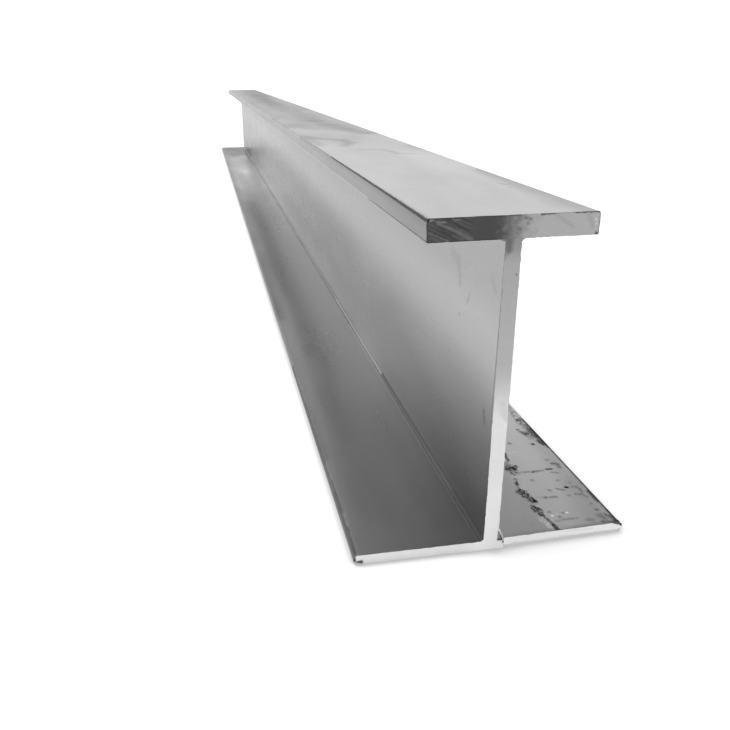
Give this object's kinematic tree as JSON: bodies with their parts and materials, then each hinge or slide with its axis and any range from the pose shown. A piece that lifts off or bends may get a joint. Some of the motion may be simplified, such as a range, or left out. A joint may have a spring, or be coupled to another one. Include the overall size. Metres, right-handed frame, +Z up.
{
  "type": "steel i-beam",
  "caption": "Straight length of bare steel I-beam with a narrow thick top flange, a wide thin bottom flange and a rough stepped saw cut at one end.",
  "frame": {"origin": "middle of the underside, half way along the bar", "axes": "+Y along the bar towards the plain end, +Z up from the wide bottom flange to the narrow top flange, +X across the flanges; the stepped saw cut is at -Y"},
  "size_m": [0.208, 3, 0.245],
  "materials": {
    "steel": "bare mill-finish steel with a soft sheen, grey oxide stains, a line of broken rust scale on one outstand and freshly sawn bright ends"
  },
  "bodies": {
    "root": {"i_beam": "steel"}
  },
  "joints": []
}
